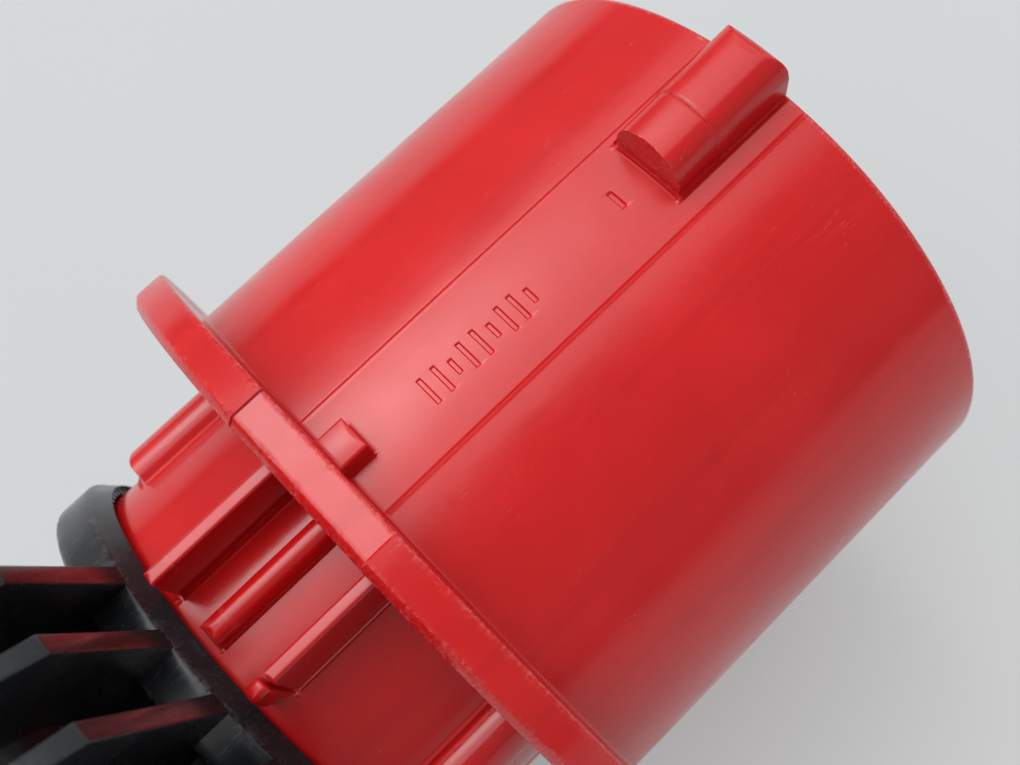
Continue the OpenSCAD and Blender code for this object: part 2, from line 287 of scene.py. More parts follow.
RIBS = [tall_rib(0, -4.6), tall_rib(0, SLIDE_SHIFT, 29.1, 1.3, SHORT_RIB_REAR_X)]
RIBS += [Rib(a, 0, 2.5, 2.0, 0.02, 1.2, 0.3, RIB_REAR_X) for a in (2.0, 180)]
RIBS += [tall_rib(180, shift) for shift in (-4.6, 4.6)]
RIBS += [Rib(a, 0, 6.0, 2.6, 0.7, 1.4, 0.7, -14.9) for a in (-57, 61, 121, 239)]


def front_angles():
    angles = list(np.arange(-180, 180, 0.8))
    for rib in RIBS:
        angles += bar_angles(rib.angle, rib.width, NECK_R, rib.foot, rib.shift)
    angles += bar_angles(0, KEY_W, SHROUD_R, KEY_FOOT)
    angles += bar_angles(0, PAD_W, SHROUD_R, PAD_FOOT)
    for seam in SEAMS:
        angles += [seam + d for d in (-0.5, -0.26, -0.13, 0, 0.13, 0.26, 0.5)]
    for s in (-1, 1):
        angles += [FLAT_A + s * (FLAT_HALF_A + d) for d in (-0.9, -0.35, -0.02, 0.25, 0.8)]
    angles += list(np.arange(FLAT_A - 12, FLAT_A + 12, 0.5))
    for half in (2.7 / 2, 1.5 / 2, NOTCH_HALF_L):
        for s in (-1, 1):
            angles += [TICK_A + s * (half + d) / SHROUD_R / DEG for d in (-0.09, 0.0, 0.06)]
    return angles


front = Skin(front_angles(), 0.006)


# ---------------------------------------------------------------- front shell: cross-sections
def rib_height(y, rib, cap):
    """A rib's sides are parallel to its frame's upright, so its top is level if shifted."""
    height = bar_height(y - rib.shift, rib.width, rib.height, rib.crown, rib.edge_r, rib.foot)
    if rib.shift:
        level = (math.sqrt(NECK_R * NECK_R - rib.shift * rib.shift)
                 - np.sqrt(np.maximum(NECK_R * NECK_R - y * y, 0)))
        height = height + np.where(np.abs(y - rib.shift) <= rib.width / 2, level, 0.0)
    return np.minimum(height, cap)


def neck(x):
    taper_x = -21.2
    radius = NECK_R
    if x <= taper_x:
        radius = NECK_R - NECK_TAPER * min(1, (taper_x - x) / 0.4)
    bars = []
    for rib in RIBS:
        if x > rib.rear_x - rib.foot:
            edge_r = 0.3 if rib.height > 3 else 0.8
            cap = end_cap(x - rib.rear_x, rib.height, edge_r, rib.foot)
            bars.append((rib.angle, radius, lambda y, rib=rib, cap=cap: rib_height(y, rib, cap)))
    return front.raised(x, radius + 0.012 * front.noise(x, 4.0, 40, 3), bars)


def recess(x, y, at_x, half_w, half_l, end_ramp, depth):
    """Depth of a sunk mark whose sides slope down."""
    across = np.clip((half_w - abs(x - at_x)) / 0.12, 0, 1)
    return depth * across * np.clip((half_l - np.abs(y)) / end_ramp, 0, 1)


def shroud_radius(x):
    r = np.full(front.count, SHROUD_R)
    if x > SHROUD_X - RIM_L:
        t = (x - (SHROUD_X - RIM_L)) / RIM_L
        r = r - RIM_DROP * (1 - math.sqrt(max(0, 1 - t * t)))
    r = r + 0.02 * front.noise(x, 9.0, 26, 5) + 0.006 * front.noise(x, 2.2, 90, 6)
    for seam in SEAMS:              # a fine groove beside a slight step
        d = (front.deg - seam) * SHROUD_R * DEG
        r = r - 0.075 * np.exp(-(d / 0.07) ** 2) + 0.035 * np.exp(-((d - 0.19) / 0.1) ** 2)
    y = (front.deg - TICK_A) * SHROUD_R * DEG
    for tick_x, length in TICKS:
        r = r - recess(x, y, tick_x, TICK_W / 2 + 0.06, length / 2 + 0.05, 0.14, TICK_D)
    y = front.deg * SHROUD_R * DEG
    return r - recess(x, y, NOTCH_X, NOTCH_HALF_W, NOTCH_HALF_L, 0.16, NOTCH_D)


def key_height(x):
    """The key rises forwards; its rear third sits a hair lower behind a groove."""
    rise = KEY_H - 0.75 * (KEY_X1 - x) / (KEY_X1 - KEY_X0)
    step = -0.10 if x < KEY_SPLIT_X else 0.0
    groove = -0.10 * math.exp(-((x - KEY_SPLIT_X) / 0.10) ** 2)
    width = KEY_W + (0.0 if x > KEY_SPLIT_X else -0.12)
    cap = min(end_cap(x - KEY_X0, rise, 0.35, KEY_FOOT),
              end_cap(KEY_X1 + 1e-4 - x, rise, KEY_EDGE_R, KEY_FOOT))
    top = rise + step + groove
    return lambda y: np.minimum(bar_height(y, width, top, 0.95, KEY_EDGE_R, KEY_FOOT), cap)


def pad_height(x):
    cap = end_cap(PAD_X1 - x, 2.3, 0.22, PAD_FOOT)
    return lambda y: np.minimum(bar_height(y, PAD_W, 2.35, 0.15, 0.25, PAD_FOOT), cap)


def shroud(x):
    bars = []
    if KEY_X0 - 0.5 < x <= KEY_X1 + 0.001:
        bars.append((0.0, SHROUD_R, key_height(x)))
    if x < PAD_X1 + 0.35:
        bars.append((-0.1, SHROUD_R, pad_height(x)))
    return front.raised(x, shroud_radius(x), bars)


def flange(x, extra):
    off = front.deg - FLAT_A
    flat = math.sqrt(FLANGE_R ** 2 - FLAT_HALF_W ** 2) - FLAT_DEPTH
    flat = flat / np.cos(np.clip(off, -60, 60) * DEG)
    r = np.where(np.abs(off) < FLAT_HALF_A, np.minimum(flat, FLANGE_R), FLANGE_R)
    return front.ring(x, r + extra)


def flare(base, angle, toward):
    """Section swept outwards and along X on the root fillet's arc."""
    radial = base.copy()
    radial[:, 0] = 0
    radial /= np.linalg.norm(radial, axis=1)[:, None]
    points = base + radial * ROOT_R * (1 - math.cos(angle * DEG))
    points[:, 0] += toward * ROOT_R * math.sin(angle * DEG)
    return points


# ---------------------------------------------------------------- front shell: rows in order
front_dents = front.dents(240, 21, 0.25) + 0.6 * front.dents(620, 22, 0.35)
rear_dents = front.dents(200, 23, 0.3) + 0.6 * front.dents(560, 24, 0.3)

# flange edge from rear to front: x, change of radius, wear
FLANGE_EDGE = [
    (-3.75, -0.66, 0.8), (-3.45, -0.36, 0.3), (-3.2, -0.1, 0.35), (-3.1, -0.03, 0.8),
    (-3.0, 0.0, 0.5), (-2.7, 0, 0.03), (-1.9, 0, 0.0), (-1.0, 0, 0), (-0.6, 0, 0.1),
    (-0.33, 0.0, 0.5), (-0.2, -0.03, 0.95), (-0.09, -0.10, 1.0), (-0.02, -0.2, 0.95)]
# front rim, inwards: x, radius, wear
MOUTH_RIM = [
    (SHROUD_X, 31.15, 0.5), (SHROUD_X, 30.6, 0.1), (SHROUD_X, 29.7, 0.1),
    (SHROUD_X, 29.1, 0.3), (48.38, 28.85, 0.3), (48.15, 28.65, 0.2), (47.9, BORE_R, 0)]
# shroud floor and neck bore, back to the neck's rear end: x, radius
NECK_BORE = [
    (3.15, BORE_R - 0.1), (3.0, BORE_R - 0.45), (3.0, 26), (3.0, 24), (3.0, 22.1),
    (2.8, NECK_BORE_R), (0, NECK_BORE_R), (-6, NECK_BORE_R), (-12, NECK_BORE_R),
    (-18, NECK_BORE_R), (-21.3, NECK_BORE_R), (NECK_REAR_X, NECK_BORE_R + 0.3),
    (NECK_REAR_X, 23.0), (NECK_REAR_X, NECK_R - 0.42)]


def add_neck():
    on_rib = np.zeros(front.count, bool)
    for rib in RIBS:
        y = NECK_R * np.sin((front.deg - rib.angle) * DEG) - rib.shift
        facing = np.cos((front.deg - rib.angle) * DEG) > 0
        on_rib |= (np.abs(y) < rib.width / 2) & facing
    xs = set(np.round(np.arange(-21, -4.3, 0.9), 3)) | {NECK_REAR_X, -21.45, -21.2}
    for rib in RIBS:
        end, foot = rib.rear_x, rib.foot
        xs |= {end - foot, end - foot * 0.6, end - foot * 0.3, end - 0.06, end - 0.004}
        xs |= {end + d for d in (0.004, 0.03, 0.09, 0.2, 0.32, 0.55, 0.82)}
    for x in sorted(xs):
        at_end = abs(x - RIB_REAR_X) < 0.25 or abs(x - SHORT_RIB_REAR_X) < 0.2
        front.add(neck(x), 0.3 * on_rib if at_end else 0)


def add_flange():
    base = neck(-FLANGE_T - ROOT_R)
    for angle in (0, 20, 40, 60, 80):
        front.add(flare(base, angle, 1))
    root = flare(base, 90, 1)
    outer = flange(-FLANGE_T, -0.75 - 0.05 * rear_dents)
    for s in (0, 0.15, 0.35, 0.6, 0.8, 0.93, 0.98, 1.0):
        front.add(root * (1 - s) + outer * s, 0.7 if s >= 0.98 else 0)
    for x, extra, wear_and_highlight in FLANGE_EDGE:
        dents = front_dents if x > -1 else rear_dents
        depth = 0.09 if wear_and_highlight > 0.75 else 0.04 if wear_and_highlight > 0.3 else 0.0
        front.add(flange(x, extra - depth * dents),
                  wear_and_highlight * (0.45 + 0.55 * np.clip(dents * 2.2, 0, 1)))
    outer = flange(0.0, -0.32 - 0.12 * front_dents)
    base = shroud(ROOT_R)
    root = flare(base, 90, -1)
    for s in (0, 0.04, 0.12, 0.3, 0.55, 0.8, 1.0):
        front.add(outer * (1 - s) + root * s, 0.8 if s == 0 else 0.1 if s < 0.1 else 0)
    for angle in (70, 50, 30, 12):
        front.add(flare(base, angle, -1))


def add_shroud():
    xs = set(np.round(np.arange(0.4, 47.7, 0.95), 3))
    xs |= {2.45, 2.6, 2.7, 2.76, 2.796, 2.804, 2.86, 2.95, 3.1, 3.3}         # pad's end
    xs |= {KEY_X0 + d for d in (-0.46, -0.3, -0.15, -0.05, -0.004, 0.004, 0.04, 0.1, 0.2, 0.35)}
    xs |= {KEY_SPLIT_X + d for d in (-0.3, -0.14, -0.06, 0, 0.06, 0.14, 0.3)}
    xs |= {KEY_X1 - d for d in (1.9, 1.6, 1.3, 1.0, 0.75, 0.5, 0.3, 0.15, 0.06, 0.01)}
    xs |= {KEY_X1 + 0.004}
    for tick_x, _ in TICKS:
        xs |= {tick_x + s * (TICK_W / 2 + d) for s in (-1, 1) for d in (-0.07, 0.06)}
    xs |= {NOTCH_X + d for d in (-0.31, -0.17, 0.17, 0.31)}
    xs |= {47.8, 47.95, 48.3, 48.38, 48.44, 48.48}                           # front rim
    on_key = (np.abs(SHROUD_R * front.sin) < KEY_W / 2) & (np.abs(front.deg) < 90)
    for x in sorted(xs):
        wear_and_highlight = 0.0
        if x > 47.9:
            wear_and_highlight = 0.35 + 0.65 * np.clip(rear_dents * 2, 0, 1)
        if KEY_X0 - 0.01 < x < KEY_X0 + 0.2 or abs(x - KEY_SPLIT_X) < 0.12:
            wear_and_highlight = 0.3 * on_key
        front.add(shroud(x), wear_and_highlight)


def add_inside():
    for x, radius, wear_and_highlight in MOUTH_RIM:
        front.add(front.ring(x, radius), wear_and_highlight)
    for x in (46, 43, 39, 34, 28, 22, 16, 10, 6, 3.5):
        front.add(front.ring(x, BORE_R + 0.015 * front.noise(x, 8, 30, 8)))
    front.add_rings(NECK_BORE)


add_neck()
add_flange()
add_shroud()
add_inside()
place(front.build("front_shell_surface"), "front", "red_moulding", "front_shell")

# ---------------------------------------------------------------- rear housing body
TEETH, TOOTH_GAP, TOOTH_R = 96, 0.4388, 25.3  # gap is half the space between two teeth
LIP_X, LIP_R = -19.4, 27.0
BODY_R = 26.4
WING_A, LOCK_A = 8.1, 18.9
TOOTH_PITCH = 360 / TEETH
GAP_HALF_A = math.degrees(TOOTH_GAP / TOOTH_R)

# inner step: x, radius
INNER_STEP = [(-16.9, 20.3), (-16.9, 20.9), (-17.2, 21.2), (-19.0, 21.2), (-22.0, 21.2),
              (-22.3, 21.4), (-22.3, 23.0)]
# toothed bore, then the plain mouth of the lip: x, radius in a gap, radius on a tooth
TOOTHED_BORE = [
    (-22.3, 25.1, 24.4), (-22.1, 25.2, 24.5), (-20.0, 25.2, 24.5), (-18.58, 25.2, 24.5),
    (-18.51, 25.22, 24.56), (-18.49, 25.25, 25.25), (-18.2, 25.25, 25.25),
    (-18.08, 25.27, 25.27)]
# lip, the groove behind it and the rise to the body: x, radius, wear and painted highlight
# the high values on the lip's front and rear outer edges and on the step behind it paint grey
# highlight lines there, on top of edge wear
LIP = [
    (-18.3, 25.5, 0.1), (-18.8, 26.0, 0), (-19.25, 26.45, 0.1), (LIP_X, 26.62, 0.5),
    (-19.5, 26.78, 0.9), (-19.62, 26.92, 0.9), (-19.8, LIP_R, 0.4), (LIP_X - 1.5, LIP_R, 0),
    (LIP_X - 3.0, LIP_R, 0), (LIP_X - 3.6, LIP_R, 0.2), (LIP_X - 3.85, 26.92, 0.8),
    (LIP_X - 4.05, 26.75, 1), (LIP_X - 4.15, 26.5, 0.5), (LIP_X - 4.2, 26.0, 0),
    (LIP_X - 4.2, 24.2, 0), (LIP_X - 4.2, 23.5, 0), (LIP_X - 4.3, 23.27, 0),
    (LIP_X - 4.9, 23.2, 0.4), (LIP_X - 5.1, 23.1, 0.8), (LIP_X - 5.2, 22.9, 0.4),
    (LIP_X - 5.2, 22.0, 0), (LIP_X - 5.35, 21.7, 0), (LIP_X - 5.8, 21.6, 0),
    (-27, 21.6, 0), (-29.6, 21.6, 0), (-30.5, 21.75, 0), (-31.5, 22.5, 0), (-33, 23.9, 0),
    (-34.2, 25.1, 0), (-35.2, 25.95, 0), (-36, 26.3, 0.2), (-37, BODY_R, 0.1)]
# tail outside, its rear end, then the hollow back to the start: x, radius, wear
TAIL = [
    (-70, 25.4, 0), (-71, 25.0, 0.2), (-74, 23.6, 0), (-78, 21.7, 0), (-81.6, 19.98, 0),
    (-82.1, 19.8, 0.2), (-84.2, 19.1, 0.1), (-84.5, 18.8, 0.5), (-84.5, 17.4, 0),
    (-84.7, 17.2, 0), (-92, 17.2, 0), (-99.6, 17.2, 0), (-100, 16.8, 0.2), (-100, 15.0, 0),
    (-99.7, 14.6, 0), (-90, 14.6, 0), (-80, 14.6, 0), (-69, 22.6, 0), (-50, 23.0, 0),
    (-35, 23.4, 0), (-32.6, 19.2, 0), (-25, 19.2, 0), (-17.6, 19.2, 0), (-17.5, 19.6, 0),
    (-17.2, 20.2, 0)]


def build_housing():
    angles = list(np.arange(-180, 180, 1.0))
    for i in range(TEETH):
        middle = i * TOOTH_PITCH + LOCK_A
        for s in (-1, 1):
            angles += [middle + s * (GAP_HALF_A + d) for d in (-0.12, 0.12)]
    rear = Skin(angles, 0.03)
    in_gap = np.abs(rear.from_angle(LOCK_A, TOOTH_PITCH)) < GAP_HALF_A
    rear.add_rings(INNER_STEP)
    rear.add_rings((x, np.where(in_gap, gap_r, tooth_r)) for x, gap_r, tooth_r in TOOTHED_BORE)
    dents = rear.dents(180, 31, 0.3)
    # the lip rows' wear values also paint highlight lines on its edges
    for x, radius, wear_and_highlight in LIP:
        rear.add(rear.ring(x, radius - (0.08 * dents if wear_and_highlight > 0.5 else 0)), wear_and_highlight)
    # tapered body, with hollows that repeat along X between the wings
    from_wing = np.abs(rear.from_angle(WING_A, 180))
    side = np.clip((from_wing - 50) / 3, 0, 1)
    for x in np.arange(-40, -69.5, -1.5):
        radius = BODY_R - (-x - 36) / 34
        hollow = 0.5 * (1 - np.cos(2 * math.pi * (x + 40) / 6.0)) if -68 < x < -40 else 0
        rear.add(rear.ring(x, radius - 0.7 * hollow * side + 0.01 * rear.noise(x, 5, 40, 33)))
    for x, radius, wear_and_highlight in TAIL:
        rear.add(rear.ring(x, radius), wear_and_highlight)
    return rear.build("rear_housing_body")


place(build_housing(), "rear_housing", "black_moulding", "rear_housing")

# ---------------------------------------------------------------- grip wings
# Five fins each, leaning towards each other and thinning outwards, joined by a recessed web.
# Their feet end inside the housing's wall, so nothing reaches into the hollow.
WING_TOP, FIN_PITCH, WING_SHIFT = 56.6, 7.0, 2.25
FIN_FOOT_T, FIN_TIP_T = 2.26, 1.4
THIN_FROM_Z = 20
WEB_HALF_W = 13.95
# x, ("r", distance from the axis)
FOOT = [(-74, ("r", 21.4)), (-69, ("r", 24.0)), (-36, ("r", 24.8)), (-34.4, ("r", 23.9)),
        (-31, ("r", 20.4))]


def wing_piece(name, outline, sides, bevel, shift, angle, flip, is_fin):
    """Outline of (x, z) or (x, ("r", radius)), the z where that radius from the axis is met.

    Sides are y offsets; for a fin they are parts of its half thickness.
    """
    sn, cs = math.sin(angle * DEG), math.cos(angle * DEG)
    bm = bmesh.new()
    rings = []
    for side in sides:
        ring = []
        for x, z in outline:
            if isinstance(z, tuple):
                y = side * (FIN_FOOT_T / 2 if is_fin else 1.0)
                square = (shift * sn) ** 2 - (y * y + shift * shift
                                              + 2 * shift * y * cs - z[1] ** 2)
                z = -shift * sn + math.sqrt(max(square, 0.0))
            y = side
            if is_fin:
                t = min(1, max(0, (z - THIN_FROM_Z) / (WING_TOP - THIN_FROM_Z)))
                y = side * (FIN_FOOT_T + (FIN_TIP_T - FIN_FOOT_T) * t) / 2
            p = turn(np.array([x, -y, z]), angle)
            p[1] -= shift
            if flip:
                p[1:] *= -1
            ring.append(bm.verts.new(Vector(p) * MM))
        rings.append(ring)
    n = len(outline)
    bm.faces.new(rings[0])
    bm.faces.new(rings[-1][::-1])
    for a, b in zip(rings[:-1], rings[1:]):
        for i in range(n):
            bm.faces.new((a[i], b[i], b[(i + 1) % n], a[(i + 1) % n]))
    place(mesh_object(name, bm, 32, bevel), "rear_housing", "black_moulding")


def build_wing(side_name, flip):
    fin_x = LIP_X - 0.1
    for k in range(-2, 3):
        lean = WING_A - k * abs(k)
        shift = WING_SHIFT + FIN_PITCH * k + 0.55 * k * abs(k)
        corner = WING_TOP - (3.1, 6.4, 7.1)[abs(k)]
        top = corner + 3.1 + 0.4 * abs(k)
        outline = [(LIP_X - 3.3, ("r", 20.4)), (LIP_X - 3.3, ("r", 26.0)), (fin_x, ("r", 26.0)),
                   (fin_x, corner), (fin_x - 0.85 * (top - corner), top), (-57, top),
                   (-59.2, top - 0.7), (-66, top - 9), (-74, 23.2)] + FOOT
        wing_piece(f"wing_fin_{side_name}_{k + 3}", outline, (-1, 1), 0.2, shift, lean, flip,
                   is_fin=True)
    top = WING_TOP - 6.6
    outline = [(LIP_X - 7.5, ("r", 20.4)), (LIP_X - 8, 38), (LIP_X - 9.5, top - 9.5),
               (LIP_X - 14, top - 6.5), (-52, top - 6.5), (-61, top - 14),
               (-69, 26.5)] + FOOT[1:]
    wing_piece(f"wing_web_{side_name}", outline, np.linspace(-WEB_HALF_W, WEB_HALF_W, 15), 0.0,
               WING_SHIFT, WING_A, flip, is_fin=False)


build_wing("upper", False)
build_wing("lower", True)

# ---------------------------------------------------------------- lock slide: knob and nose
# stations: x, width, bottom, top, edge radius
KNOB = [
    (-17.28, 0.9, 25.9, 28.1, 0.35), (-17.2, 1.25, 25.6, 28.5, 0.45),
    (-17.05, 1.42, 25.45, 28.8, 0.55), (-16.8, 1.5, 25.42, 29.0, 0.6),
    (-16.4, 1.5, 25.42, 29.06, 0.6), (-15.93, 1.5, 25.42, 29.04, 0.6),
    (-15.89, 1.5, 23.38, 29.04, 0.6), (-15.7, 1.5, 23.38, 29.02, 0.6),
    (-15.52, 1.42, 23.42, 28.9, 0.55), (-15.43, 1.2, 23.5, 28.6, 0.4)]
NOSE = [
    (-17.23, 0.45, 24.36, 24.95, 0.12), (-17.1, 0.64, 24.31, 25.08, 0.15),
    (-16.2, 0.66, 24.3, 25.1, 0.15), (-15.55, 0.66, 24.3, 25.1, 0.15)]
ARC_STEPS = 9


def loft(name, stations, angle, shift=0.0):
    """Round-topped section swept along X, closed at both ends."""
    arc = [t * math.pi / 2 / ARC_STEPS for t in range(1, ARC_STEPS)]
    bm = bmesh.new()
    rings = []
    for x, width, bottom, top, r in stations:
        half, spring = width / 2, top - r
        pts = [(-half, bottom), (-half, spring)]
        pts += [(-half + r - r * math.cos(a), spring + r * math.sin(a)) for a in arc]
        pts += [(-half + r, top), (half - r + 1e-3, top)]
        pts += [(half - r + r * math.sin(a), spring + r * math.cos(a)) for a in arc]
        pts += [(half, spring), (half, bottom)]
        points = turn(np.array([[x, -y - shift, z] for y, z in pts]), angle)
        rings.append([bm.verts.new(Vector(p) * MM) for p in points])
    n = len(rings[0])
    for a, b in zip(rings[:-1], rings[1:]):
        for j in range(n):
            bm.faces.new((a[j], a[(j + 1) % n], b[(j + 1) % n], b[j]))
    bm.faces.new(rings[0][::-1])
    bm.faces.new(rings[-1])
    return mesh_object(name, bm, 40)


place(loft("lock_slide_knob", KNOB, 0.0, SLIDE_SHIFT), "lock_slide", "red_moulding",
      "lock_slide")
place(loft("lock_slide_nose", NOSE, LOCK_A), "lock_slide", "red_moulding")


# ---------------------------------------------------------------- shader helpers
class Graph:
    """Short calls that add nodes to a tree; values may be numbers, colours or sockets."""
    spare = None                # value for a math node's third input, if it is set at all

    def __init__(self, tree):
        self.tree = tree

    def put(self, socket, value):
        if isinstance(value, bpy.types.NodeSocket):
            self.tree.links.new(value, socket)
        else:
            socket.default_value = (*value, 1) if socket.type == "RGBA" else value

    def node(self, kind, inputs, **settings):
        node = self.tree.nodes.new("ShaderNode" + kind)
        for key, value in settings.items():
            setattr(node, key, value)
        for key, value in inputs.items():
            self.put(node.inputs[key], value)
        return node

    def math(self, op, a, b=0.0, clamp=False):
        inputs = {0: a, 1: b}
        if self.spare is not None:
            inputs[2] = self.spare
        return self.node("Math", inputs, operation=op, use_clamp=clamp).outputs[0]

    def times(self, first, *others):
        for other in others:
            first = self.math("MULTIPLY", first, other)
        return first

    def plus(self, a, b, clamp=False):
        return self.math("ADD", a, b, clamp)

    def ramp(self, value, rise, to=(0.0, 1.0)):
        """Smooth step over the range rise, from to[0] to to[1]."""
        return self.node("MapRange", {
            "Value": value, "From Min": rise[0], "From Max": rise[1],
            "To Min": to[0], "To Max": to[1]}, interpolation_type="SMOOTHSTEP").outputs["Result"]


class Material(Graph):
    spare = 0.0

    def __init__(self, name):
        self.material = bpy.data.materials.new(name)
        self.material.use_nodes = True
        super().__init__(self.material.node_tree)
        self.shader = self.tree.nodes["Principled BSDF"]
        self.coords = self.node("TexCoord", {}).outputs["Object"]

    def map(self, stretch=(1, 1, 1), turned=(0, 0, 0), shift=(0, 0, 0)):
        return self.node("Mapping", {
            "Vector": self.coords, "Scale": stretch, "Rotation": [a * DEG for a in turned],
            "Location": shift}).outputs["Vector"]

    def noise(self, scale, detail=3, rough=0.6, **mapping):
        return self.node("TexNoise", {
            "Vector": self.map(**mapping), "Scale": scale, "Detail": detail,
            "Roughness": rough}).outputs["Fac"]

    def patches(self, rise, to=(0.0, 1.0), **noise):
        return self.ramp(self.noise(**noise), rise, to)

    def mix(self, amount, a, b):
        return self.node("Mix", {0: amount, 6: a, 7: b}, data_type="RGBA").outputs[2]

    def wear_and_highlight_mask(self, **patches):
        """The mesh's wear value, broken up by noise; on the rear lip's edges it paints highlight
        lines.
        """
        wear_and_highlight = self.node("Attribute", {}, attribute_name="wear_and_highlight").outputs["Fac"]
        return self.times(wear_and_highlight, self.patches(**patches))

    def scratch(self, turned, length, across, width, seed, cover):
        """Thin iso-lines of a stretched noise, kept only in patches."""
        lines = self.noise(scale=1.0, detail=2, rough=0.5, turned=turned,
                           stretch=(1 / length, 1 / across, 1 / across),
                           shift=(seed, seed * 0.7, seed * 1.3))
        off = self.math("ABSOLUTE", self.math("SUBTRACT", lines, 0.5))
        return self.times(self.ramp(off, rise=(0.0, width), to=(1, 0)),
                          self.patches(rise=(1 - cover, 1 - cover + 0.06), scale=260,
                                       shift=(seed * 3.1, 1.7, seed)))

    def paleness(self, scratches, specks, wear_and_highlight):
        """Sum of three (mask, strength) pairs, held to 0..1."""
        rest = self.plus(self.times(*specks), self.times(*wear_and_highlight))
        return self.plus(self.times(*scratches), rest, clamp=True)

    def bump(self, height, distance, strength, over=None):
        inputs = {"Height": height, "Distance": distance, "Strength": strength}
        if over is not None:
            inputs["Normal"] = over
        return self.node("Bump", inputs).outputs["Normal"]

    def finish(self, colour, rough, normal, metallic=0.0):
        for key, value in (("Base Color", colour), ("Roughness", rough),
                           ("Metallic", metallic), ("Normal", normal)):
            self.put(self.shader.inputs[key], value)
        return self.material


# ---------------------------------------------------------------- materials
def red_plastic():
    m = Material("red_moulding_plastic")
    colour = m.mix(m.patches(rise=(0.3, 0.75), scale=60, detail=4),
                   (0.50, 0.0045, 0.005), (0.57, 0.008, 0.009))
    axial_streaks = m.patches(rise=(0.52, 0.72), scale=1.0, stretch=(25, 420, 420))   # darker streaks along X
    colour = m.mix(m.times(axial_streaks, 0.30), colour, (0.40, 0.003, 0.004))
    scratches = m.math(
        "MAXIMUM",
        m.scratch(turned=(0, 0, 8), length=0.020, across=0.0007, width=0.006, seed=1.0,
                  cover=0.40),
        m.scratch(turned=(20, 35, 62), length=0.012, across=0.0006, width=0.006, seed=5.0,
                  cover=0.38))
    # scuffs are clustered fine flecks
    flecks = m.patches(rise=(0.66, 0.74), scale=2600, detail=2, shift=(3, 1, 2))
    zones = m.patches(rise=(0.56, 0.68), scale=75, detail=4, rough=0.65, shift=(7, 2, 4))
    wear_and_highlight_mask = m.wear_and_highlight_mask(rise=(0.42, 0.64), scale=2600, rough=0.65)
    pale = m.paleness(scratches=(scratches, 0.10), specks=(m.times(flecks, zones), 0.14),
                      wear_and_highlight=(wear_and_highlight_mask, 0.28))
    colour = m.mix(pale, colour, (0.80, 0.33, 0.31))
    grime = m.patches(rise=(0.60, 0.78), scale=140, detail=5, rough=0.7, shift=(11, 5, 3))
    colour = m.mix(m.times(grime, 0.20), colour, (0.20, 0.012, 0.010))
    rough = m.plus(m.patches(rise=(0.25, 0.8), to=(0.17, 0.30), scale=110, detail=4),
                   m.times(pale, 0.35))
    normal = m.bump(m.noise(scale=900, rough=0.5), distance=0.00002, strength=0.55)
    normal = m.bump(m.noise(scale=95, detail=2, rough=0.5), distance=0.0003, strength=0.22,
                    over=normal)
    normal = m.bump(m.math("SUBTRACT", 1.0, scratches), distance=0.00002, strength=0.3,
                    over=normal)
    return m.finish(colour, rough, normal)


def black_plastic(name, base, roughness):
    m = Material(name)
    colour = m.mix(m.patches(rise=(0.3, 0.75), scale=70, detail=4),
                   base, tuple(c * 1.9 for c in base))
    scratches = m.math(
        "MAXIMUM",
        m.scratch(turned=(0, 0, 12), length=0.015, across=0.0009, width=0.010, seed=2.0,
                  cover=0.52),
        m.scratch(turned=(40, 20, 70), length=0.010, across=0.0008, width=0.010, seed=6.0,
                  cover=0.50))
    cells = m.node("TexVoronoi", {"Vector": m.map(), "Scale": 1500}).outputs["Distance"]
    dust = m.times(m.ramp(cells, rise=(0.0, 0.13), to=(1, 0)),
                   m.patches(rise=(0.52, 0.66), scale=160, shift=(4, 4, 1)))
    # edge wear, and grey painted highlight lines on the lip's edges
    wear_and_highlight_mask = m.wear_and_highlight_mask(rise=(0.42, 0.62), scale=900, detail=4, rough=0.7)
    pale = m.paleness(scratches=(scratches, 0.10), specks=(dust, 0.55), wear_and_highlight=(wear_and_highlight_mask, 0.16))
    colour = m.mix(pale, colour, (0.33, 0.34, 0.35))
    rough = m.plus(m.patches(rise=(0.25, 0.8), to=roughness, scale=130, detail=4),
                   m.times(pale, 0.3))
    normal = m.bump(m.noise(scale=1100, rough=0.5), distance=0.00002, strength=0.6)
    normal = m.bump(m.noise(scale=120, detail=2, rough=0.5), distance=0.0003, strength=0.2,
                    over=normal)
    return m.finish(colour, rough, normal)


def metal(name, clean, dull, roughness):
    m = Material(name)
    cloud = m.noise(scale=180, detail=5, rough=0.65)
    tarnish = m.patches(rise=(0.58, 0.74), scale=420, detail=5, rough=0.7, shift=(2, 8, 5))
    colour = m.mix(m.ramp(cloud, rise=(0.35, 0.7)), clean, dull)
    colour = m.mix(m.times(tarnish, 0.5), colour, (0.20, 0.15, 0.09))
    rough = m.plus(m.ramp(cloud, rise=(0.3, 0.8), to=roughness), m.times(tarnish, 0.2))
    turning_marks = m.noise(scale=1.0, detail=2, rough=0.5, stretch=(9000, 60, 60))
    normal = m.bump(turning_marks, distance=0.00002, strength=0.4)
    return m.finish(colour, rough, normal, metallic=1.0)


def rubber():
    m = Material("seal_rubber_mat")
    colour = m.mix(m.patches(rise=(0.35, 0.7), scale=300, detail=5, rough=0.7),
                   (0.012, 0.012, 0.012), (0.035, 0.034, 0.033))
    talc = m.times(m.patches(rise=(0.6, 0.75), scale=1500), 0.18)
    colour = m.mix(talc, colour, (0.4, 0.4, 0.4))
    rough = m.patches(rise=(0.3, 0.7), to=(0.5, 0.72), scale=500, rough=0.5)
    return m.finish(colour, rough, m.bump(m.noise(scale=2500), distance=0.00004, strength=0.7))


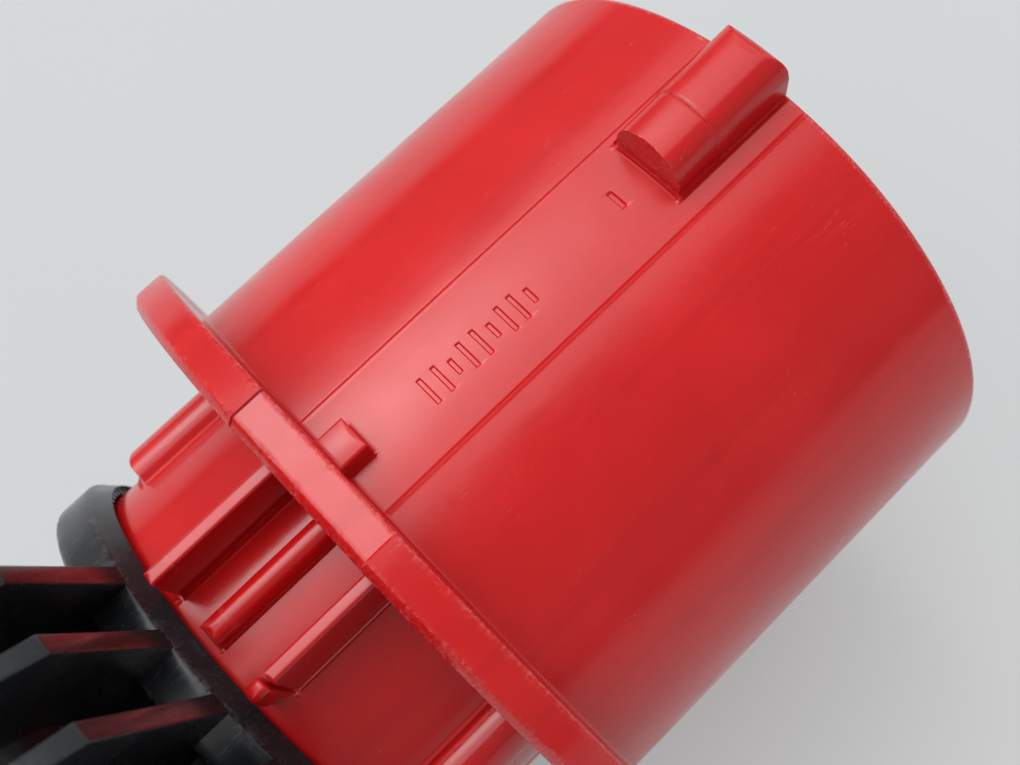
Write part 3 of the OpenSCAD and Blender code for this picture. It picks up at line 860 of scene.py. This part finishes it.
def white_plastic():
    m = Material("white_ring_plastic")
    colour = m.mix(m.patches(rise=(0.3, 0.75), scale=220, detail=4),
                   (0.66, 0.65, 0.60), (0.76, 0.75, 0.71))
    rough = m.patches(rise=(0.3, 0.7), to=(0.32, 0.5), scale=400, rough=0.5)
    return m.finish(colour, rough, m.bump(m.noise(scale=1500), distance=0.00003, strength=0.5))


def paper():
    m = Material("paper")
    colour = m.mix(m.patches(rise=(0.3, 0.7), scale=3.0, rough=0.5),
                   (0.285, 0.296, 0.298), (0.305, 0.310, 0.311))
    glow = m.mix(m.patches(rise=(0.3, 0.7), scale=2.0, rough=0.5),
                 (0.96, 0.99, 1.0), (1.0, 1.0, 1.0))
    m.put(m.shader.inputs["Emission Color"], glow)
    m.put(m.shader.inputs["Emission Strength"], 0.25)
    return m.finish(colour, 0.75, m.bump(m.noise(scale=900), distance=0.0001, strength=0.2))


materials = {
    "red_moulding": red_plastic(),
    "black_moulding": black_plastic("black_moulding_plastic", base=(0.010, 0.0115, 0.013),
                                    roughness=(0.20, 0.36)),
    "insulator": black_plastic("insulator_plastic", base=(0.020, 0.021, 0.023),
                               roughness=(0.38, 0.52)),
    "contact_metal": metal("nickel_plated_contact", clean=(0.74, 0.70, 0.60),
                           dull=(0.66, 0.60, 0.47), roughness=(0.16, 0.30)),
    "screw_steel": metal("zinc_plated_screw", clean=(0.60, 0.61, 0.63),
                         dull=(0.48, 0.48, 0.48), roughness=(0.24, 0.40)),
    "seal_rubber": rubber(),
    "white_plastic": white_plastic()}
slots = {part["node"]: part["material_slot"] for part in frame["record"]["subparts"]}
for obj, slot in [(obj, slots[node]) for node, obj in frame["nodes"].items()] + made:
    obj.data.materials.clear()
    obj.data.materials.append(materials[slot])


# ---------------------------------------------------------------- floor: plain pale sheet
def build_floor():
    bm = bmesh.new()
    bmesh.ops.create_grid(bm, x_segments=8, y_segments=8, size=3.0)
    mesh = bpy.data.meshes.new("floor")
    bm.to_mesh(mesh)
    bm.free()
    floor = link_object("floor", mesh)
    floor.location = (0, 0, cad_box[0][2] - 0.0005)
    mesh.materials.append(paper())


build_floor()


# ---------------------------------------------------------------- world
def build_world():
    """One broad overhead panel with a brighter core, in a dim room."""
    world = bpy.data.worlds.new("studio")
    scene.world = world
    world.use_nodes = True
    g = Graph(world.node_tree)
    coords = g.node("TexCoord", {}).outputs["Generated"]
    x, y, z = g.node("SeparateXYZ", {0: coords}).outputs

    def level(value):
        return g.plus(value, 0.0)

    def bell(value, centre, spread):
        d = g.math("DIVIDE", g.math("SUBTRACT", value, centre), spread)
        return g.math("POWER", 2.718, g.times(g.times(d, d), -1.0))

    above = g.ramp(z, rise=(0.0, 0.15))
    total = g.times(g.ramp(y, rise=(-0.25, -0.19)), g.ramp(y, rise=(0.63, 0.76), to=(1, 0)),
                    g.ramp(z, rise=(0.25, 0.4)), g.ramp(x, rise=(0.1, 0.75), to=(2.15, 1.1)),
                    g.ramp(x, rise=(-0.95, -0.6)))
    core = g.times(bell(y, centre=0.42, spread=0.25), bell(x, centre=-0.02, spread=0.21),
                   g.ramp(z, rise=(0.3, 0.5)), level(5.2))
    plus_y = g.times(g.ramp(y, rise=(0.55, 0.8)), above, level(0.36))
    minus_y = g.times(g.ramp(y, rise=(-0.2, -0.35)), above, level(0.34))
    plus_x = g.times(g.ramp(x, rise=(0.6, 0.9)), above, level(0.5))
    room = 0.04
    for light in (core, plus_y, minus_y, plus_x, room):
        total = g.plus(total, light)
    background = g.tree.nodes["Background"]
    g.put(background.inputs["Strength"], total)
    g.put(background.inputs["Color"], (0.98, 0.99, 1.0))
    world.cycles.sampling_method = "MANUAL"
    world.cycles.sample_map_resolution = 1024


build_world()
scene.view_settings.view_transform = "Standard"
scene.view_settings.look = "None"
scene.view_settings.exposure = 0.0


# ---------------------------------------------------------------- camera
def build_camera():
    """Looks steeply down, with +X and +Y towards the top of the picture."""
    camera = bpy.data.cameras.new("cam")
    obj = link_object("cam", camera)
    right = Vector((0.7166097, -0.6877016, -0.1163487))
    up = Vector((0.6835210, 0.6592331, 0.3133856))
    forward = Vector((0.1388148, 0.3041019, -0.9424715))
    pose = Matrix((right, up, -forward)).transposed().to_4x4()
    pose.translation = Vector((2.33331, -30.97276, 113.21701)) * MM
    tilt = 0.8                  # about the world's X axis
    obj.matrix_world = Matrix.Rotation(tilt * DEG, 4, "X") @ pose
    camera.sensor_width = 36
    camera.lens = 38.440588
    camera.clip_start = 0.005
    camera.dof.use_dof = True
    camera.dof.focus_distance = 0.086
    camera.dof.aperture_fstop = 45
    scene.camera = obj


build_camera()
